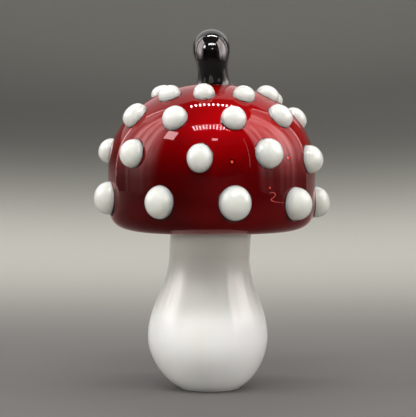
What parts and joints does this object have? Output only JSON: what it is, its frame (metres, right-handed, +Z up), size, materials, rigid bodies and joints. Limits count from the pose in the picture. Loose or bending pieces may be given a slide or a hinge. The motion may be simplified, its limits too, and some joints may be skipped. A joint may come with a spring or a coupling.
{
  "type": "glass mushroom ornament",
  "caption": "Hand-blown glass mushroom ornament: white bulb stem, domed ruby cap with raised white dots, black glass hanging loop.",
  "frame": {"origin": "under the middle of the whole ornament, on the level of the ground foot", "axes": "+Z up through stem, cap and loop; the pictured side faces -Y; the loop's eye runs through along X"},
  "size_m": [0.0816, 0.0818, 0.1249],
  "materials": {
    "opal_stem_glass": "fire-polished opaque white glass",
    "ruby_cap_glass": "fire-polished deep ruby glass, see-through only against a strong light",
    "opal_dot_glass": "fire-polished opaque white glass",
    "black_loop_glass": "fire-polished opaque black glass"
  },
  "bodies": {
    "root": {"stem": "opal_stem_glass", "cap": "ruby_cap_glass", "dot_skirt_1": "opal_dot_glass", "dot_skirt_2": "opal_dot_glass", "dot_skirt_3": "opal_dot_glass", "dot_skirt_4": "opal_dot_glass", "dot_skirt_5": "opal_dot_glass", "dot_skirt_6": "opal_dot_glass", "dot_skirt_7": "opal_dot_glass", "dot_skirt_8": "opal_dot_glass", "dot_skirt_9": "opal_dot_glass", "dot_belt_1": "opal_dot_glass", "dot_belt_2": "opal_dot_glass", "dot_belt_3": "opal_dot_glass", "dot_belt_4": "opal_dot_glass", "dot_belt_5": "opal_dot_glass", "dot_belt_6": "opal_dot_glass", "dot_belt_7": "opal_dot_glass", "dot_belt_8": "opal_dot_glass", "dot_belt_9": "opal_dot_glass", "dot_shoulder_1": "opal_dot_glass", "dot_shoulder_2": "opal_dot_glass", "dot_shoulder_3": "opal_dot_glass", "dot_shoulder_4": "opal_dot_glass", "dot_shoulder_5": "opal_dot_glass", "dot_shoulder_6": "opal_dot_glass", "dot_shoulder_7": "opal_dot_glass", "dot_shoulder_8": "opal_dot_glass", "dot_shoulder_9": "opal_dot_glass", "dot_crown_1": "opal_dot_glass", "dot_crown_2": "opal_dot_glass", "dot_crown_3": "opal_dot_glass", "dot_crown_4": "opal_dot_glass", "dot_crown_5": "opal_dot_glass", "dot_crown_6": "opal_dot_glass", "dot_crown_7": "opal_dot_glass", "dot_crown_8": "opal_dot_glass", "dot_crown_9": "opal_dot_glass", "hanging_loop": "black_loop_glass"}
  },
  "joints": []
}
